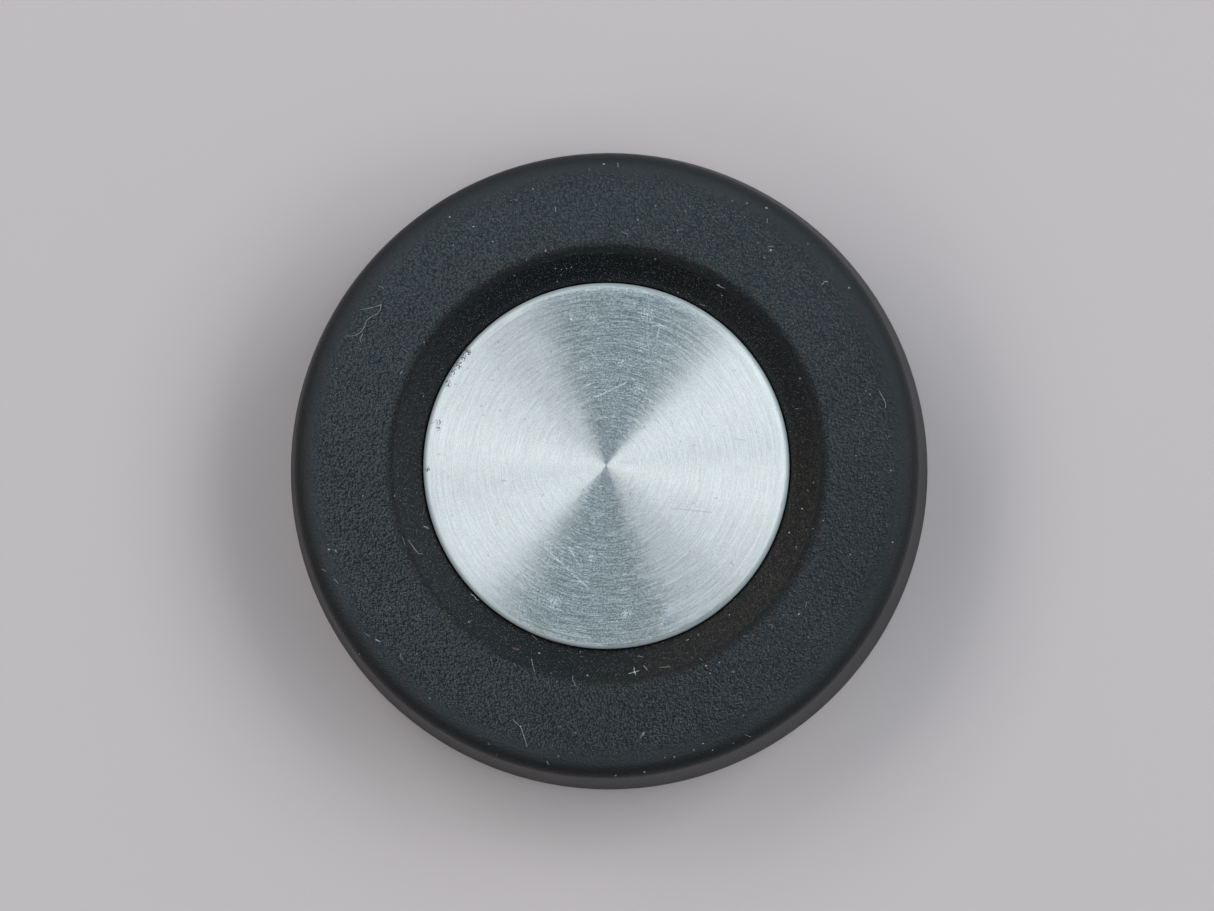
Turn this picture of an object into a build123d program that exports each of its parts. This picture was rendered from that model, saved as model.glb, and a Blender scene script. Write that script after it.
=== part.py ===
from build123d import *
import os
from math import atan2, cos, radians, sin, tan

# Push-on control knob: a black moulded shell with a dished top, a turned aluminium disc glued into the
# dish, and a slotted boss underneath that a spring ring closes on the shaft.
# Millimetres, +Z up. The origin is on the axis, in the plane of the base rim that the knob stands on.

# Outside of the moulded shell
base_diameter = 41.4
height = 10.5
draft_angle = 5.8  # degrees that the wall leans in on its way up
top_edge_radius = 1.1
base_edge_chamfer = 0.2
ring_width = 5.77  # flat ring on top, from the wall's line to the dish
dish_cone_width = 2.18
dish_depth = 1.6
dish_edge_radius = 0.35

# Turned disc and its seat at the foot of the dish
seat_clearance = 0.12
seat_depth = 0.75
disc_thickness = 1.2
disc_lip_width = 0.6
disc_lip_drop = 0.07
disc_edge_radius = 0.35
disc_back_chamfer = 0.1

# Walls and ribs of the shell
side_wall = 1.8
top_wall = 1.8
floor_wall = 1.5
inner_corner_chamfer = 0.5
rib_count = 6
rib_thickness = 1.2
root_overlap = 0.4  # how far ribs and boss reach into the wall that they grow from

# Boss for a 6 mm shaft
bore_diameter = 6.0
bore_cap_wall = 1.2
boss_diameter = 10.4
boss_setback = 0.6
boss_mouth_chamfer = 0.4
slot_width = 1.0
slot_depth = 3.7

# Spring ring in its groove round the boss
spring_thickness = 0.5
spring_width = 2.0
spring_gap = 2.4
spring_clearance = 0.05
groove_depth = 0.6
groove_setback = 0.9

cut_overrun = 1.0

# Levels and radii that the sizes above lead to
lean = tan(radians(draft_angle))
base_radius = base_diameter / 2
top_radius = base_radius - height * lean
dish_radius = top_radius - ring_width
seat_radius = dish_radius - dish_cone_width
disc_radius = seat_radius - seat_clearance
bore_radius = bore_diameter / 2
boss_radius = boss_diameter / 2
groove_radius = boss_radius - groove_depth
dish_slope = atan2(dish_depth, dish_cone_width)
dish_foot_z = height - dish_depth
seat_z = dish_foot_z - seat_depth
upper_roof_z = height - top_wall
roof_z = seat_z - floor_wall
bore_end_z = seat_z - bore_cap_wall
slot_end_z = boss_setback + slot_depth
groove_z = boss_setback + groove_setback
groove_end_z = groove_z + spring_width + 2 * spring_clearance


def wall_radius(z):
    """Outer radius of the drafted wall at a level."""
    return base_radius - z * lean


def inner_radius(z):
    """Inner radius of the wall, which leans with the outside."""
    return wall_radius(z) - side_wall / cos(radians(draft_angle))


def roof_radius(z):
    """Radius of the sloping roof at a level: it runs under the dish's cone at one wall thickness."""
    foot_radius = seat_radius + top_wall * sin(dish_slope)
    foot_z = dish_foot_z - top_wall * cos(dish_slope)
    return foot_radius + (z - foot_z) / tan(dish_slope)


def turned(outline, roundings=()):
    """Revolves a half section of (radius, level) points, after rounding the corners that are named."""
    section = make_face(Polyline(*outline, close=True))
    for point, radius in roundings:
        corner = section.vertices().sort_by_distance(point)[0]
        section = fillet(corner, radius)
    return revolve(Plane.XZ * section, Axis.Z)


def shell():
    """Drafted wall, flat ring, dish and disc seat over a hollow of even wall thickness."""
    top_edge = (top_radius, height)
    dish_edge = (dish_radius, height)
    corner_foot_z = upper_roof_z - inner_corner_chamfer
    outline = [
        (inner_radius(0), 0),
        (base_radius - base_edge_chamfer, 0),
        (wall_radius(base_edge_chamfer), base_edge_chamfer),
        top_edge,
        dish_edge,
        (seat_radius, dish_foot_z),
        (seat_radius, seat_z),
        (0, seat_z),
        (0, roof_z),
        (roof_radius(roof_z), roof_z),
        (roof_radius(upper_roof_z), upper_roof_z),
        (inner_radius(upper_roof_z) - inner_corner_chamfer, upper_roof_z),
        (inner_radius(corner_foot_z), corner_foot_z),
    ]
    return turned(outline, [(top_edge, top_edge_radius), (dish_edge, dish_edge_radius)])


def boss():
    """The solid boss under the dish, with the groove that keeps the spring ring."""
    outline = [
        (0, boss_setback),
        (boss_radius, boss_setback),
        (boss_radius, groove_z),
        (groove_radius, groove_z),
        (groove_radius, groove_end_z),
        (boss_radius, groove_end_z),
        (boss_radius, roof_z + root_overlap),
        (0, roof_z + root_overlap),
    ]
    return turned(outline)


def ribs():
    """Radial ribs from the boss's root to the wall, above the slotted part so that it can spring."""
    outline = [
        (boss_radius - root_overlap, slot_end_z),
        (inner_radius(slot_end_z) + root_overlap, slot_end_z),
        (inner_radius(upper_roof_z) + root_overlap, upper_roof_z + root_overlap),
        (roof_radius(upper_roof_z), upper_roof_z + root_overlap),
        (roof_radius(roof_z), roof_z + root_overlap),
        (boss_radius - root_overlap, roof_z + root_overlap),
    ]
    profile = Plane.XZ * make_face(Polyline(*outline, close=True))
    rib = extrude(profile, rib_thickness / 2, both=True)
    return PolarLocations(0, rib_count) * rib


def shaft_cuts():
    """The blind bore with its chamfered mouth, and the slot that splits the boss in two."""
    low_z = boss_setback - cut_overrun
    outline = [
        (0, low_z),
        (bore_radius + boss_mouth_chamfer + cut_overrun, low_z),
        (bore_radius, boss_setback + boss_mouth_chamfer),
        (bore_radius, bore_end_z),
        (0, bore_end_z),
    ]
    slot_size = (boss_diameter + cut_overrun, slot_width, slot_depth + cut_overrun)
    slot = Box(*slot_size, align=(Align.CENTER, Align.CENTER, Align.MIN))
    return turned(outline) + Pos(0, 0, low_z) * slot


def knob_body():
    return shell() + boss() + ribs() - shaft_cuts()


def inlay_disc():
    """A turned disc that lies on its seat, its face falling away a little towards the rounded edge."""
    face_z = seat_z + disc_thickness
    edge = (disc_radius, face_z - disc_lip_drop)
    outline = [
        (0, seat_z),
        (disc_radius - disc_back_chamfer, seat_z),
        (disc_radius, seat_z + disc_back_chamfer),
        edge,
        (disc_radius - disc_lip_width, face_z),
        (0, face_z),
    ]
    return turned(outline, [(edge, disc_edge_radius)])


def boss_spring():
    """An open ring of flat strip, with its gap a quarter turn from the boss's slot."""
    inside = groove_radius + spring_clearance
    outside = inside + spring_thickness
    low_z = groove_z + spring_clearance
    strip = [
        (inside, low_z),
        (outside, low_z),
        (outside, low_z + spring_width),
        (inside, low_z + spring_width),
    ]
    gap = Box(spring_gap, outside, spring_width + 2 * cut_overrun)
    return turned(strip) - Pos(0, outside, low_z + spring_width / 2) * gap


pieces = {
    "knob_body": knob_body(),
    "inlay_disc": inlay_disc(),
    "boss_spring": boss_spring(),
}

os.makedirs("parts", exist_ok=True)
for name, piece in pieces.items():
    export_step(piece, f"parts/{name}.step")
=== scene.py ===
import math
import random

import bpy
from mathutils import Matrix, Vector


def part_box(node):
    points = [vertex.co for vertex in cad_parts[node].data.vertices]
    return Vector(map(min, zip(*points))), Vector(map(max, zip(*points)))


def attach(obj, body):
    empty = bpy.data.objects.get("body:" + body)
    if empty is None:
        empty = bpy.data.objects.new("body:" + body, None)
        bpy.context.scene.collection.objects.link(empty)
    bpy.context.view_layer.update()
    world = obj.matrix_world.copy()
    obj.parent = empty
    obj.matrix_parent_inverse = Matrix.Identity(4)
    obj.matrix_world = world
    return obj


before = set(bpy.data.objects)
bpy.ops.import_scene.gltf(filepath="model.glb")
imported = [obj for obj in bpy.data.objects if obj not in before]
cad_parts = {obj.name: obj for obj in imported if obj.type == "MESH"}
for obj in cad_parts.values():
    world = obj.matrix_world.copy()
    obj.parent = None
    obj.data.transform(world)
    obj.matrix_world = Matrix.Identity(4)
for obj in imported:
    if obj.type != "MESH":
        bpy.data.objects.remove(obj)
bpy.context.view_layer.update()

# Moulded body: one black plastic moulding with a drafted wall, a flat ring on top and a dish in the middle.
# The mould is etched with a fine grain on the flat ring and left smoother in the dish, on the rounded edge
# and on the wall.
MM = 0.001
top_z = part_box("knob_body")[1].z
dish_radius = 13.86 * MM
dish_foot_z = top_z - 1.78 * MM
ring_outer_radius = 18.6 * MM
rim_low_z = top_z - 0.9 * MM
rim_high_z = top_z - 0.3 * MM
grain_depth = 0.25 * MM
pebbles_per_metre = 5500
fine_grains_per_metre = 11500
motes_per_metre = 1100
haze_clouds_per_metre = 260
reflected_brown_flecks_per_metre = 3500
plastic_black = (0.0064, 0.0068, 0.0075, 1)
dust_blue = (0.076, 0.108, 0.124, 1)
dust_grey = (0.108, 0.117, 0.121, 1)
reflection_brown = (0.17, 0.105, 0.058, 1)
mote_grey = (0.30, 0.32, 0.325, 1)


class Shade:
    """A socket of a shader tree. Sums and products of sockets add Math nodes to the tree."""

    def __init__(self, tree, socket=None):
        self.tree = tree
        self.socket = socket

    def node(self, kind, settings=None, sockets=None, out=0):
        """Adds a node: its settings first, then the values or links of its sockets."""
        made = self.tree.nodes.new(kind)
        for name, value in (settings or {}).items():
            setattr(made, name, value)
        for name, value in (sockets or {}).items():
            if isinstance(value, Shade):
                self.tree.links.new(value.socket, made.inputs[name])
            else:
                made.inputs[name].default_value = value
        return Shade(self.tree, made.outputs[out])

    def out(self, name):
        """Another output of the node that this socket belongs to."""
        return Shade(self.tree, self.socket.node.outputs[name])

    def maths(self, operation, *terms):
        return self.node("ShaderNodeMath", {"operation": operation}, dict(enumerate(terms)))

    def __add__(self, other):
        return self.maths("ADD", self, other)

    __radd__ = __add__

    def __sub__(self, other):
        return self.maths("SUBTRACT", self, other)

    def __rsub__(self, other):
        return self.maths("SUBTRACT", other, self)

    def __mul__(self, other):
        return self.maths("MULTIPLY", self, other)

    __rmul__ = __mul__

    def __truediv__(self, other):
        return self.maths("DIVIDE", self, other)

    def __pow__(self, other):
        return self.maths("POWER", self, other)

    def rise(self, low, high):
        """0 below low, 1 above high, and smooth between them."""
        sockets = {"Value": self, "From Min": low, "From Max": high}
        return self.node("ShaderNodeMapRange", {"interpolation_type": "SMOOTHSTEP"}, sockets)

    def tint(self, plain, full):
        """A colour that goes from plain to full with this socket."""
        return self.node("ShaderNodeMix", {"data_type": "RGBA"}, {0: self, 6: plain, 7: full}, out=2)

    def to_surface(self):
        """Makes this shader the surface of its material."""
        output = self.tree.nodes.new("ShaderNodeOutputMaterial")
        self.tree.links.new(self.socket, output.inputs["Surface"])


def new_finish(name):
    """A material with an empty tree."""
    material = bpy.data.materials.new(name)
    material.use_nodes = True
    material.node_tree.nodes.clear()
    return material, Shade(material.node_tree)


def noise(tree, place, scale, detail=2.0, roughness=0.5):
    """Noise of about 1 / scale metres to a feature."""
    sockets = {"Vector": place, "Scale": scale, "Detail": detail, "Roughness": roughness}
    return tree.node("ShaderNodeTexNoise", None, sockets)


def wear(node_name, material):
    """Gives a CAD node its finish."""
    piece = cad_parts[node_name]
    piece.data.materials.clear()
    piece.data.materials.append(material)


plastic, tree = new_finish("black_moulded_plastic")
place = tree.node("ShaderNodeTexCoord", out="Object")
x = tree.node("ShaderNodeSeparateXYZ", None, {"Vector": place})
y = x.out("Y")
z = x.out("Z")
radius = (x * x + y * y) ** 0.5

# Where the dish, the flat ring, the rounded rim and the wall lie, with soft borders between them
on_top = z.rise(dish_foot_z, dish_foot_z + 0.13 * MM)
# The dish's less dusty border reaches further out towards the far side and the right, which darkens that side
# of the dish's rim: painted shade
mouth_shifted_for_shade = radius - x * 0.005 - y * 0.006
in_dish = 1 - mouth_shifted_for_shade.rise(dish_radius - 0.4 * MM, dish_radius + 0.35 * MM)
on_edge = radius.rise(ring_outer_radius - 0.5 * MM, ring_outer_radius + 0.75 * MM)
smooth_rim = radius.rise(ring_outer_radius - 1.25 * MM, ring_outer_radius + 0.45 * MM)
on_ring = (1 - in_dish) * (1 - on_edge)
etched = radius.rise(dish_radius - 0.55 * MM, dish_radius - 0.1 * MM) * (1 - smooth_rim) * on_top
facing_up = z.rise(rim_low_z, rim_high_z)
wall = on_edge * (1 - facing_up)


def bumps(where):
    """Height of the etched grain at a place, with its fine part."""
    sockets = {"Vector": where, "Scale": pebbles_per_metre}
    pebbles = tree.node("ShaderNodeTexVoronoi", {"feature": "F1"}, sockets)
    fine = noise(tree, where, fine_grains_per_metre, 1.0, 0.8)
    return 0.30 - pebbles * 0.85 + fine * 1.4, fine


grain, fine = bumps(place)
rim_grain = 0.14
dish_grain = 0.06
relief = grain * (etched + smooth_rim * rim_grain + in_dish * dish_grain)
normal = tree.node("ShaderNodeBump", None, {"Strength": 1.0, "Distance": grain_depth, "Height": relief})

# Grey dust lies on the crests of the grain, thicker at the far left; one flank of each bump is painted lighter
# and the other darker, as painted shade of light from one side, weaker towards the far side and the right
shade_flank_step = 0.055 * MM
step_up = (x.rise(-8 * MM, 8 * MM) * 2 - 1) * shade_flank_step
aside = tree.node("ShaderNodeCombineXYZ", None, {"X": shade_flank_step, "Y": step_up})
beside = tree.node("ShaderNodeVectorMath", {"operation": "ADD"}, {0: place, 1: aside})
painted_flank_shade = (grain - bumps(beside)[0]) * (1 - y.rise(2 * MM, 14 * MM) * 0.7) * (1 - x.rise(0, 12 * MM) * 0.3)
# Sparse bright specks on the grain, on the ring and in the dish: painted glints
glints = fine.rise(0.62, 0.74)
even_dust = 0.52
uneven_dust_and_shade = grain.rise(0.2, 1.05) * 0.54 - 0.25 + glints * 0.6 + painted_flank_shade * 0.59
patchy = 0.91 - x * 14.0 - y * 5.8
thinning = 1 + smooth_rim * 1.35
ring_dust_and_shade = (even_dust + uneven_dust_and_shade * patchy * (1 - smooth_rim)) / thinning
ring_dust_and_shade = ring_dust_and_shade * (1.17 - x * 9.7 + y * 10.3)
dish_dust_and_glints = fine.rise(0.48, 0.8) * 0.38 + glints * 0.42 - 0.03
dust_shade_and_glints = on_top * (on_ring * ring_dust_and_shade + in_dish * dish_dust_and_glints)

# A thin film of dust lies over the rest, with a few larger motes. A brownish tint in the dish and on the wall
# is a painted reflection, and the top of the rounded rim is painted lighter at the far side as painted light
patches = noise(tree, place, haze_clouds_per_metre, 3.0).rise(0.35, 0.8)
ring_film = on_top * on_ring * patches * 0.08
wall_film = wall * patches * 0.02
# The top of the rounded rim is painted lighter towards the far side: painted light
painted_rim_light = on_edge * facing_up * tree.maths("MAXIMUM", y * 3.5, 0)
film_and_rim_light = ring_film + wall_film + painted_rim_light
motes = tree.node("ShaderNodeTexVoronoi", {"feature": "F1"}, {"Vector": place, "Scale": motes_per_metre})
some_motes = tree.node("ShaderNodeSeparateColor", None, {"Color": motes.out("Color")}).rise(0.55, 0.9)
mote = (1 - motes.rise(0.04, 0.09)) * some_motes * (0.9 - in_dish * 0.5 - wall * 0.55)
dust_colour = (in_dish + grain.rise(0.3, 1.0)).tint(dust_blue, dust_grey)
# The painted glints tint the dust colour towards pale grey
dust_and_glint_colour = (glints * (0.5 - in_dish * 0.3)).tint(dust_colour, mote_grey)
# Brownish tint at the near right of the dish and in patches on the wall: painted brown reflection
reflected_brown_side = on_top * in_dish * (x - y * 0.8).rise(6 * MM, 15 * MM)
reflected_brown_flecks = noise(tree, place, reflected_brown_flecks_per_metre).rise(0.5, 0.75)
reflected_brown = reflected_brown_side * (0.03 + reflected_brown_flecks * 0.12) + wall * patches * 0.06
skin_colour = (film_and_rim_light + dust_shade_and_glints).tint(plastic_black, dust_and_glint_colour)
skin_colour = reflected_brown.tint(skin_colour, reflection_brown)
skin_colour = mote.tint(skin_colour, mote_grey)
skin = tree.node(
    "ShaderNodeBsdfPrincipled",
    None,
    {
        "Base Color": skin_colour,
        "Roughness": 0.27 + etched * 0.19 + smooth_rim * 0.23,
        "IOR": 1.5,
        "Specular IOR Level": 0.33,
        "Normal": normal,
    },
)
skin.to_surface()
wear("knob_body", plastic)

# Inlay disc: turned from aluminium sheet and finished on the lathe, so that its face is covered with fine
# circular tool marks. It is glued into the seat at the foot of the dish. Handling has left scuffs and a few
# scratches across the marks, and dirt has settled at its edge.
disc_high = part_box("inlay_disc")[1]
disc_radius = disc_high.x
face_z = disc_high.z
lip_width = 0.7 * MM
mark_depth = 0.0024 * MM
rings_per_metre = 6300
specks_per_metre = 11000
clouds_per_metre = 650
pits_per_metre = 3600
flecks_per_metre = 9000
aluminium_dark = (0.585, 0.61, 0.605, 1)
aluminium_light = (0.87, 0.897, 0.873, 1)
dirt_grey = (0.05, 0.05, 0.048, 1)
glue_yellow = (0.80, 0.78, 0.62, 1)
edge_grey = (0.69, 0.70, 0.66, 1)
reflection_blue = (0.93, 0.99, 1.07, 1)

# Millimetres from the knob's axis, and for the spots their radius
scratch_width = 0.07
long_scratches = [
    ((-3.83, -5.23), (-1.20, -7.67)), ((-2.36, -5.15), (-1.62, -6.41)), ((-2.15, 4.63), (-0.99, 5.16)),
    ((-0.57, 4.37), (1.32, 5.26)), ((3.42, 8.96), (3.21, 8.10)), ((-4.6, -4.3), (-3.4, -5.0)),
]
dark_scratches = [
    ((4.11, -2.70), (6.64, -2.96)), ((8.09, 1.71), (8.78, 1.58)), ((6.05, 3.58), (6.04, 3.16)),
    ((3.11, 2.89), (3.37, 2.64)),
]
smudges = [
    (2.58, 9.51, 0.75), (-1.52, 6.10, 0.45), (2.05, 4.84, 0.5), (0.90, 6.52, 0.4), (-0.79, 7.0, 0.35),
    (-2.25, 9.36, 0.35), (-0.80, 9.27, 0.35), (1.21, -9.34, 0.6), (-3.31, -8.71, 0.65), (-0.99, -5.88, 0.45),
    (3.94, -9.14, 0.6), (3.53, -9.97, 0.45),
]
dirt_spots = [
    (-8.78, 7.2, 0.45), (-9.1, 6.9, 0.5), (-9.4, 6.4, 0.55), (-9.8, 5.95, 0.5), (-10.0, 5.2, 0.4),
    (-10.62, 2.75, 0.3), (-10.62, 2.35, 0.25), (-11.3, -0.2, 0.3),
]
glue_spots = [(1.58, 8.05, 0.16), (0.48, -7.09, 0.2)]

# Degrees that each set of hair lines is turned, and how many lie to the metre
hair_line_sets = [(35, 9200), (-50, 8700), (78, 9600), (-24, 8300)]

spun, tree = new_finish("spun_aluminium")
place = tree.node("ShaderNodeTexCoord", out="Object")
x = tree.node("ShaderNodeSeparateXYZ", None, {"Vector": place})
y = x.out("Y")
radius = (x * x + y * y) ** 0.5


def arcs(turns, rings):
    """Noise drawn out along the circles: turns sets how short the arcs are, rings how fine they lie."""
    spoke = radius * (1 / turns)
    along = tree.node("ShaderNodeCombineXYZ", None, {"X": x / spoke, "Y": y / spoke, "Z": radius * rings})
    return noise(tree, along, 1.0, 2.0, 0.6)


def vectors(operation, sockets, out="Vector"):
    """A step of vector maths."""
    return tree.node("ShaderNodeVectorMath", {"operation": operation}, sockets, out)


def spot(across, up, size):
    """A round patch on the face that fades out towards its edge, in millimetres."""
    middle = (across * MM, up * MM, face_z)
    away = vectors("DISTANCE", {0: place, 1: middle}, "Value")
    return 1 - away.rise(0, size * MM)


def scratch(start, end):
    """A straight scratch on the face between two places, in millimetres."""
    first = Vector((start[0] * MM, start[1] * MM, face_z))
    run = Vector((end[0] * MM, end[1] * MM, face_z)) - first
    away = vectors("SUBTRACT", {0: place, 1: first})
    share = vectors("DOT_PRODUCT", {0: away, 1: run / run.length_squared}, "Value")
    share = tree.node("ShaderNodeClamp", None, {"Value": share})
    nearest = vectors("SCALE", {0: run, "Scale": share})
    gap = vectors("DISTANCE", {0: away, 1: nearest}, "Value")
    return 1 - gap.rise(0, scratch_width * MM)


def fine_lines(turn, scale):
    """Sparse hair lines that all run one way."""
    sockets = {"Vector": place, "Rotation": (0, 0, math.radians(turn)), "Scale": (0.03, 1.0, 1.0)}
    along = tree.node("ShaderNodeMapping", None, sockets)
    return noise(tree, along, scale, 1.0).rise(0.66, 0.74)


def most(masks):
    """The strongest of several masks."""
    strongest = masks[0]
    for mask in masks[1:]:
        strongest = tree.maths("MAXIMUM", strongest, mask)
    return strongest


# The marks of the lathe: full rings, then ever shorter arcs
rings = noise(tree, tree.node("ShaderNodeCombineXYZ", None, {"Z": radius * rings_per_metre}), 1.0, 3.0, 0.8)
turned = rings * 0.23 + arcs(3.0, 15000.0) * 0.31 + arcs(10.0, 16000.0) * 0.27 + arcs(35.0, 16000.0) * 0.19

# The marks of use, and the dirt and glue left on the face
specks = noise(tree, place, specks_per_metre, 1.0, 0.8)
clouds = noise(tree, place, clouds_per_metre)
smudged = most([spot(*smudge) for smudge in smudges]) * specks.rise(0.4, 0.62)
hair_lines = most([fine_lines(*lines) for lines in hair_line_sets])
scratched = most([scratch(*ends) for ends in long_scratches])
marred = most([scratch(*ends) for ends in dark_scratches])
pits = noise(tree, place, pits_per_metre, 0.0).rise(0.815, 0.845)
flecks = noise(tree, place, flecks_per_metre, 1.0).rise(0.5, 0.58)
dirt = most([spot(*patch) for patch in dirt_spots]).rise(0.1, 0.6) * flecks
dirt = most([dirt * 0.9, marred * 0.22, pits * 0.25])
glue = most([spot(*patch) for patch in glue_spots])

# The face's narrow sloping lip and, outside it, the rolled edge
lip = radius.rise(disc_radius - lip_width - 0.2 * MM, disc_radius - lip_width + 0.2 * MM)
rolled_edge = radius.rise(disc_radius - 0.42 * MM, disc_radius - 0.12 * MM)

shade = turned * 0.75 + specks * 0.25
face_colour = shade.rise(0.385, 0.615).tint(aluminium_dark, aluminium_light)
face_colour = most([lip * 0.3, rolled_edge]).tint(face_colour, edge_grey)
face_colour = (glue * 0.6).tint(face_colour, glue_yellow)
face_colour = dirt.tint(face_colour, dirt_grey)
levelled = tree.maths("MAXIMUM", radius - (disc_radius - 0.6 * MM), 0) * 0.085
marks = levelled + turned * mark_depth
normal = tree.node("ShaderNodeBump", None, {"Strength": 1.0, "Distance": 1.0, "Height": marks})
spun_face = tree.node(
    "ShaderNodeBsdfPrincipled",
    None,
    {
        "Base Color": face_colour,
        "Metallic": 1.0,
        "Roughness": 0.30 + turned * 0.08,
        "Anisotropic": 1.0,
        "Anisotropic Rotation": 0.25,
        "Normal": normal,
    },
)
multiply = {"data_type": "RGBA", "blend_type": "MULTIPLY"}
# The scuffed part of the face is tinted blue: painted reflection of the cool room
scuffed_and_reflection_colour = tree.node("ShaderNodeMix", multiply, {0: 1.0, 6: face_colour, 7: reflection_blue}, out=2)
scuffed_face = tree.node(
    "ShaderNodeBsdfPrincipled",
    None,
    {
        "Base Color": scuffed_and_reflection_colour,
        "Metallic": 1.0,
        "Roughness": 0.52 + rolled_edge * 0.35,
    },
)
worn = 0.09 + (turned - 0.5) * 2.7 + (specks - 0.5) * 1.55 + clouds * 0.16
worn = worn + smudged * 0.65 + hair_lines * 0.2 + scratched * 0.5
worn = worn + lip * 0.18 + rolled_edge * 0.7
face = tree.node("ShaderNodeMixShader", None, {0: worn, 1: spun_face, 2: scuffed_face})
face.to_surface()
wear("inlay_disc", spun)

# Spring ring: an open ring bent from tempered steel strip. It is snapped into the groove round the slotted
# boss, under the knob, and closes the boss on the shaft.
steel_dark = (0.21, 0.215, 0.23, 1)
steel_light = (0.34, 0.35, 0.37, 1)
steel, tree = new_finish("tempered_steel")
place = tree.node("ShaderNodeTexCoord", out="Object")
mottle = noise(tree, place, 900, 3.0)
strip = tree.node(
    "ShaderNodeBsdfPrincipled",
    None,
    {
        "Base Color": mottle.tint(steel_dark, steel_light),
        "Metallic": 1.0,
        "Roughness": 0.3 + mottle * 0.2,
    },
)
strip.to_surface()
wear("boss_spring", steel)

# Lint and dust: cloth fibres, small tufts and fine pale specks that have settled on the knob in use, with one
# reddish chip. They lie loose on the ring, in the dish and along the disc's edge.
lint_grey = (0.30, 0.325, 0.335, 1)
lint_pale = (0.52, 0.56, 0.57, 1)
speck_grey = (0.27, 0.295, 0.30, 1)
speck_pale = (0.40, 0.43, 0.43, 1)
chip_dark = (0.055, 0.028, 0.024, 1)
chip_red = (0.095, 0.040, 0.033, 1)
straight_down = Vector((0, 0, -1))

# Sizes in millimetres, then places in millimetres from the knob's axis, and for the specks their width
bright_width = 0.046
plain_width = 0.026
faint_width = 0.018
red_chip_size = (0.62, 0.3, 0.07)
red_chip_turn = math.radians(-6)
red_chip_place = (-5.68, -11.56)
bright_fibres = [
    [(1.42, -13.13), (1.81, -13.03), (2.09, -12.95)], [(1.77, -12.75), (1.76, -13.07), (1.87, -13.19)],
    [(2.41, -16.8), (2.29, -16.99), (2.14, -17.15)], [(-11.53, -3.85), (-11.37, -3.86), (-11.24, -3.98)],
    [(-8.58, -8.12), (-8.34, -8.22), (-8.27, -8.38), (-8.18, -8.51), (-8.07, -8.49)],
    [(-14.47, -10.96), (-14.32, -11.06), (-14.16, -11.12)], [(-3.2, 16.26), (-3.17, 16.11), (-3.17, 15.95)],
    [(2.36, -12.63), (2.48, -12.75), (2.6, -12.9)], [(13.6, 11.35), (13.88, 11.67), (13.95, 11.47)],
]
plain_fibres = [
    [(-5.85, -15.99), (-5.36, -16.43), (-5.28, -16.64), (-5.09, -17.23), (-4.93, -17.7)],
    [(-15.45, 9.8), (-15.18, 9.84), (-14.71, 9.93), (-14.35, 10.03), (-14.16, 10.11)],
    [(-14.16, 10.11), (-14.2, 9.9), (-14.25, 9.67), (-14.47, 9.49), (-14.71, 9.4), (-14.88, 9.27),
     (-15.14, 9.04), (-15.17, 8.8), (-15.26, 8.64), (-15.4, 8.41), (-15.57, 8.27), (-15.81, 8.17),
     (-16.08, 8.11), (-16.36, 8.14)],
    [(-15.33, 8.25), (-15.45, 8.05), (-15.48, 7.82), (-15.38, 7.66)],
    [(-4.68, -12.21), (-4.61, -12.68), (-4.46, -12.99), (-4.38, -13.42)],
    [(-2.08, -13.26), (-2.11, -13.5), (-1.97, -13.73), (-1.89, -13.93)],
    [(17.18, 4.64), (17.43, 4.18), (17.61, 3.87), (17.57, 3.56)],
    [(-12.46, -4.7), (-12.15, -5.17), (-11.9, -5.5), (-11.8, -5.6), (-11.57, -5.55)],
    [(-17.85, -6.56), (-17.71, -6.61), (-17.58, -6.69)], [(-17.11, -7.18), (-16.96, -7.29), (-16.84, -7.45)],
    [(-3.71, -18.6), (-3.65, -18.69), (-3.6, -18.81)], [(0.76, 19.06), (0.77, 18.91), (0.76, 18.78)],
    [(1, 14.73), (1.16, 14.57), (1.39, 14.61), (1.35, 14.34)], [(10.15, 15.52), (10.17, 15.36), (10.15, 15.22)],
    [(5.03, -11.02), (5.12, -11.01), (5.23, -10.96)], [(5.9, -12.16), (5.97, -12.24), (6.06, -12.28)],
    [(6.97, 11.38), (7.2, 11.22), (7.51, 11.14)],
]
faint_fibres = [
    [(3.35, -12.73), (3.68, -12.72), (4.05, -12.68)], [(2, -12.01), (2.16, -12.03), (2.31, -12.09)],
    [(-7.41, -17.47), (-7.14, -17.82), (-6.84, -18.26)],
    [(18.28, -3.26), (18.78, -3.38), (19.28, -3.33), (19.64, -3.29)],
    [(-12.83, -4.51), (-12.73, -4.74), (-12.64, -5.02)], [(-11.88, -9.49), (-11.71, -9.64), (-11.49, -9.85)],
    [(-15.22, -10.52), (-15.04, -10.67), (-14.86, -10.77)], [(-12.9, -11.81), (-12.88, -12), (-12.88, -12.21)],
    [(-14.35, 11.28), (-14.08, 11.26), (-14, 11.12)], [(-12.87, 7.35), (-12.59, 7.19), (-12.34, 7)],
    [(-14.47, 3.34), (-14.41, 3.49), (-14.39, 3.66)], [(-12.97, 5.74), (-12.9, 5.85), (-12.82, 5.92)],
    [(10.15, 13.71), (10.34, 13.76), (10.62, 13.77)], [(12.62, -8.59), (12.58, -8.8), (12.5, -9.02)],
    [(8.73, -16.92), (8.9, -17.02), (9.09, -17.08)],
    [(10.25, -10.08), (10.4, -10.02), (10.5, -10.18), (10.37, -10.3)],
    [(8.61, -10.79), (8.77, -10.74), (8.96, -10.75)], [(-4.71, -10.7), (-4.54, -10.83), (-4.36, -11.02)],
    [(11.93, 3.58), (12.05, 3.56), (12.16, 3.58)], [(17.63, -3.67), (17.66, -3.8), (17.65, -3.93)],
    [(5.9, 10.25), (6.06, 10.16), (6.25, 10.12)], [(-5.84, -12.46), (-5.74, -12.53), (-5.64, -12.63)],
    [(-9.62, 13.91), (-9.6, 13.83), (-9.59, 13.79)],
]
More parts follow.
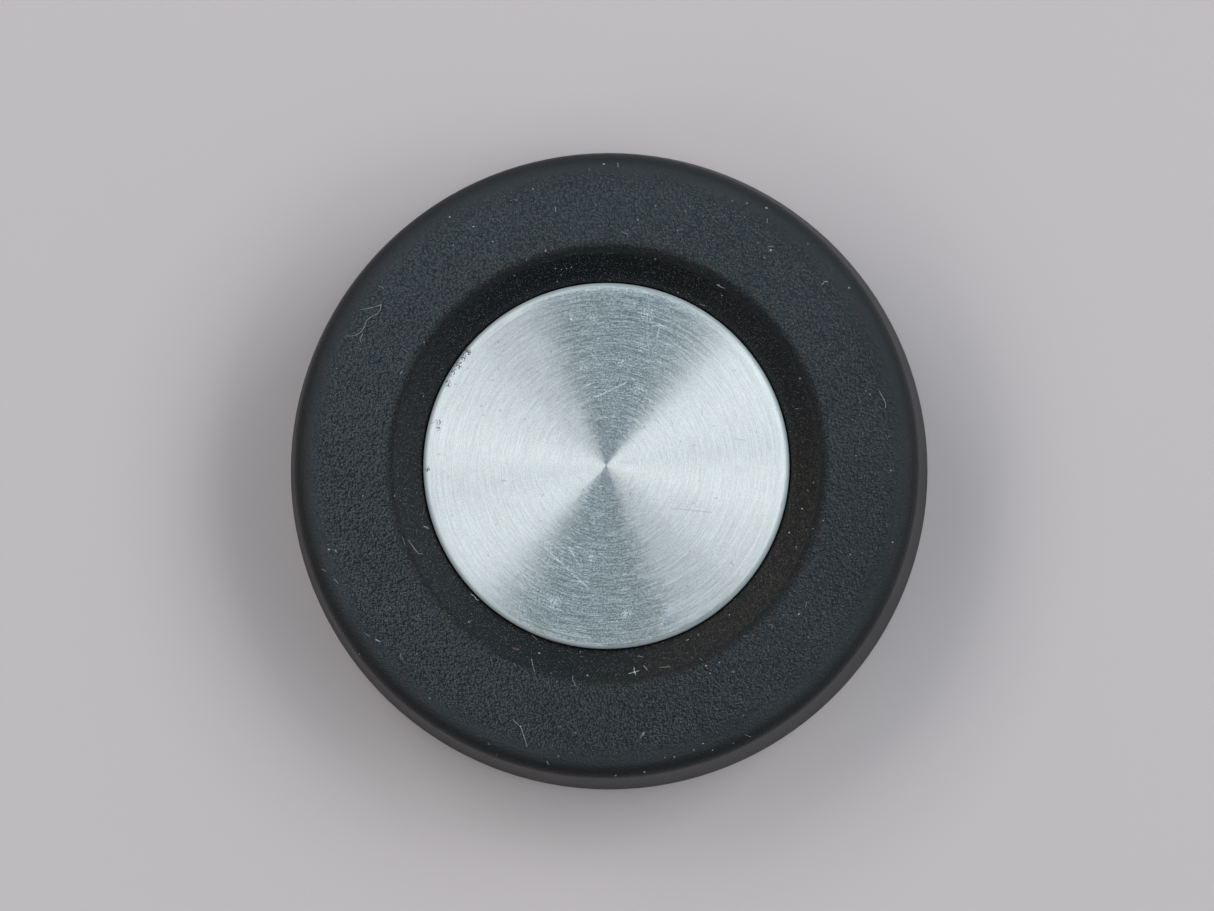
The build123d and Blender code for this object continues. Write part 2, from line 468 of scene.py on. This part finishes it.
dust_specks = [
    (10.38, 13.51, 0.19), (-4.22, -11.83, 0.15), (-1.16, -13.23, 0.15), (2.41, -19.28, 0.16),
    (0.61, -19.52, 0.13), (-3.46, -13.09, 0.11), (12.21, 5.44, 0.14), (15.71, 0.57, 0.11), (12.35, -2.74, 0.14),
    (11.54, -4.24, 0.15), (11.96, -5.15, 0.11), (18, -4.87, 0.14), (12.11, -9.38, 0.16), (-17.43, -5.31, 0.15),
    (-16.99, -5.4, 0.13), (-9.84, 15.64, 0.15), (-8.35, 15.03, 0.13), (-7.13, 14.07, 0.13),
    (-0.13, 18.98, 0.15), (-0.62, 16.38, 0.11), (2.02, 15.44, 0.14), (-1.04, 18.62, 0.1), (-3.79, 13.51, 0.15),
    (-5.01, 12.92, 0.11), (10.11, 16.19, 0.15), (9.56, 13.98, 0.11), (9.4, 13.55, 0.09), (3.12, 16.3, 0.1),
    (5, 15.99, 0.11), (4.53, 14.77, 0.13), (7.12, 11.34, 0.15), (4.52, 10.95, 0.11), (7.32, 10.7, 0.1),
    (7.76, -9.42, 0.11), (5.81, -10.68, 0.1), (6.29, -12.63, 0.15), (7.14, -12.41, 0.11), (6.54, -13.1, 0.11),
    (6.69, -17.91, 0.11), (5.51, -17.91, 0.1), (6.1, -17.5, 0.1), (-8.63, -9.88, 0.11), (-9.85, -9.47, 0.09),
    (-13.57, -8.98, 0.1), (-15.3, -1.95, 0.09), (-13.31, -1.94, 0.13), (-11.45, 7.73, 0.13),
    (-11.55, 4.39, 0.11), (-16.95, 6.09, 0.1), (-12.9, 5.82, 0.11), (13.06, -1.11, 0.09), (13.66, -3.51, 0.09),
    (13.02, -4.02, 0.1), (16.16, 1.94, 0.1), (17.88, -0.36, 0.1), (16.26, -0.68, 0.09), (16.62, 4.41, 0.1),
    (16.35, 4.64, 0.09), (-3.09, 11.65, 0.1), (-5.77, 11.97, 0.1), (-3.19, 12.43, 0.09), (-2.82, 12.38, 0.09),
    (-2.5, 12.44, 0.09), (-2.19, 12.52, 0.1), (-2.85, 12.06, 0.09), (0.22, 11.75, 0.09), (3.11, 13, 0.1),
    (-1.64, -11.75, 0.09), (-3.08, -13.62, 0.09), (3.71, -18.37, 0.09), (8.61, -15.74, 0.1), (7, -15.35, 0.09),
    (-5.36, -16.43, 0.14), (1.8, -13.04, 0.19), (2.34, -16.89, 0.14),
]


def settle(across, up):
    """Where a thing that falls on the knob comes to rest, and the way that the surface faces there."""
    above = Vector((across * MM, up * MM, 2 * top_z))
    falls = [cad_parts[name].ray_cast(above, straight_down) for name in ("knob_body", "inlay_disc")]
    landings = [(place, facing) for hit, place, facing, face in falls if hit]
    return max(landings, key=lambda landing: landing[0].z)


def mottled(name, patches_per_metre, dark, light, roughness):
    """A dull finish of two tones in small patches."""
    material, tree = new_finish(name)
    patch = noise(tree, tree.node("ShaderNodeTexCoord", out="Object"), patches_per_metre)
    colour = patch.rise(0.35, 0.65).tint(dark, light)
    tree.node("ShaderNodeBsdfPrincipled", None, {"Base Color": colour, "Roughness": roughness}).to_surface()
    return material


bpy.ops.object.select_all(action="DESELECT")
bpy.ops.curve.primitive_nurbs_path_add()
lint = bpy.context.object
lint.name = "lint"
lint.data.splines.clear()
lint.data.bevel_depth = MM / 2
lint.data.bevel_resolution = 0
lint.data.resolution_u = 3
lint.data.use_fill_caps = True
fibre_kinds = ((bright_fibres, bright_width), (plain_fibres, plain_width), (faint_fibres, faint_width))
for fibres, thickness in fibre_kinds:
    for fibre in fibres:
        spline = lint.data.splines.new("NURBS")
        spline.points.add(len(fibre) - 1)
        for point, (across, up) in zip(spline.points, fibre):
            place, facing = settle(across, up)
            point.co = (*(place + facing * thickness * MM / 2), 1)
            point.radius = thickness
        spline.order_u = 3
        spline.use_endpoint_u = True
bpy.ops.object.convert(target="MESH")
lint.data.materials.clear()
lint.data.materials.append(mottled("cloth_lint", 4000, lint_grey, lint_pale, 0.75))
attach(lint, "root")

bpy.ops.object.select_all(action="DESELECT")
bpy.ops.mesh.primitive_ico_sphere_add(subdivisions=1, radius=0.5)
speck = bpy.context.object
bpy.ops.object.mode_set(mode="EDIT")
bpy.ops.mesh.select_all(action="SELECT")
bpy.ops.transform.vertex_random(offset=0.12, seed=4)
bpy.ops.transform.resize(value=(1.0, 0.8, 0.6))
bpy.ops.object.mode_set(mode="OBJECT")


def drop_speck(across, up, size, turn, name):
    """A copy of the speck with a mesh of its own, laid on the knob."""
    place, facing = settle(across, up)
    lie = Vector((0, 0, 1)).rotation_difference(facing).to_matrix().to_4x4()
    stretch = Matrix.Diagonal((*(Vector(size) * MM), 1))
    grain_mesh = speck.data.copy()
    grain_mesh.transform(Matrix.Translation(place) @ lie @ Matrix.Rotation(turn, 4, "Z") @ stretch)
    dropped = bpy.data.objects.new(name, grain_mesh)
    bpy.context.scene.collection.objects.link(dropped)
    return dropped


draw = random.Random(11)
dropped_specks = []
for across, up, width in dust_specks:
    turn = draw.uniform(0, 2 * math.pi)
    length = width * draw.uniform(0.85, 1.25)
    dropped_specks.append(drop_speck(across, up, (length, width, width * 0.7), turn, "dust"))
red_chip = drop_speck(*red_chip_place, red_chip_size, red_chip_turn, "red_chip")
bpy.data.objects.remove(speck)
bpy.ops.object.select_all(action="DESELECT")
for dropped in dropped_specks:
    dropped.select_set(True)
dust = dropped_specks[0]
bpy.context.view_layer.objects.active = dust
bpy.ops.object.join()
dust.data.materials.append(mottled("pale_dust", 900, speck_grey, speck_pale, 0.8))
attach(dust, "root")
red_chip.data.materials.append(mottled("red_chip_finish", 5000, chip_dark, chip_red, 0.7))
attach(red_chip, "root")

# Floor: a plain pale sheet that the knob stands on. It is matt and far wider than the picture, so that
# neither a reflection nor an edge shows.
floor_size = 3.0
floor_pale = (0.58, 0.525, 0.53, 1)
bpy.ops.object.select_all(action="DESELECT")
bpy.ops.mesh.primitive_plane_add(size=floor_size)
floor = bpy.context.object
floor.name = "floor"
sheet, tree = new_finish("pale_floor")
matt = tree.node("ShaderNodeBsdfPrincipled", None, {"Base Color": floor_pale, "Roughness": 0.8})
matt.to_surface()
floor.data.materials.append(sheet)

# Light: six soft boxes overhead, three in a bank to the right and three to the left, which draw the two bright
# fans on the turned disc. The dim room round them is lighter above and towards the far right.
room_white = (0.97, 0.97, 0.98, 1)
room_blue = (0.64, 0.87, 1.0, 1)
room_darkest = 0.08
lamp_white = (0.985, 0.988, 0.985)
lamp_distance = 0.8
lamp_height = 0.36
lamp_elevation = math.radians(50)
world = bpy.data.worlds.new("room")
world.use_nodes = True
room = Shade(world.node_tree)
look = room.node("ShaderNodeTexCoord", out="Generated")
look_x = room.node("ShaderNodeSeparateXYZ", None, {"Vector": look})
look_y = look_x.out("Y")
look_z = look_x.out("Z")
room_light = 0.13 + look_x * 0.22 + look_y * 0.28 + look_z * 0.2 + look_x * look_x * 0.05
room_light = room.maths("MAXIMUM", room_light, room_darkest)
room_colour = look_x.rise(-1, 0.3).tint(room_white, room_blue)
background = world.node_tree.nodes["Background"]
world.node_tree.links.new(room_colour.socket, background.inputs["Color"])
world.node_tree.links.new(room_light.socket, background.inputs["Strength"])
bpy.context.scene.world = world


def soft_box(name, first_azimuth, last_azimuth, glow):
    """A rectangular lamp overhead that fills a range of compass angles, in degrees, seen from the knob."""
    turn = math.radians((first_azimuth + last_azimuth) / 2)
    spread = math.radians(last_azimuth - first_azimuth) / 2
    out = lamp_distance * math.cos(lamp_elevation)
    up = lamp_distance * math.sin(lamp_elevation)
    wide = 2 * out * math.tan(spread)
    data = bpy.data.lights.new(name, "AREA")
    data.shape = "RECTANGLE"
    data.size = wide
    data.size_y = lamp_height
    data.energy = glow * math.pi * wide * lamp_height
    data.color = lamp_white
    lamp = bpy.data.objects.new(name, data)
    bpy.context.scene.collection.objects.link(lamp)
    lamp.location = (out * math.cos(turn), out * math.sin(turn), up)
    lamp.rotation_euler = (math.pi / 2 - lamp_elevation, 0, turn + math.pi / 2)


soft_box("right_near_box", -39, -15, 1.95)
soft_box("right_box", -15, 8.5, 3.75)
soft_box("right_far_box", 12, 50, 4.4)
soft_box("left_far_box", 115, 165, 3.05)
soft_box("left_box", 165, 188.5, 2.15)
soft_box("left_near_box", 192, 233, 1.7)

# Camera: almost straight down on the knob with a long lens, from a little to the right of its axis and a
# little in front of it.
frame_wide_px = 1214
lens_px = 5000
sensor_width = 36.0
camera_place = Vector((5.83, -11.13, 324.64)) * MM
frame_middle = Vector((-0.12, 0.98, 0.0)) * MM
camera_data = bpy.data.cameras.new("camera")
camera_data.sensor_width = sensor_width
camera_data.lens = lens_px / frame_wide_px * sensor_width
camera_data.clip_start = 0.01
camera = bpy.data.objects.new("camera", camera_data)
bpy.context.scene.collection.objects.link(camera)
camera.location = camera_place
back = (camera_place - frame_middle).normalized()
right = Vector((0, 1, 0)).cross(back).normalized()
camera.rotation_euler = Matrix((right, back.cross(right), back)).transposed().to_euler()
bpy.context.scene.camera = camera
bpy.context.scene.view_settings.view_transform = "Standard"
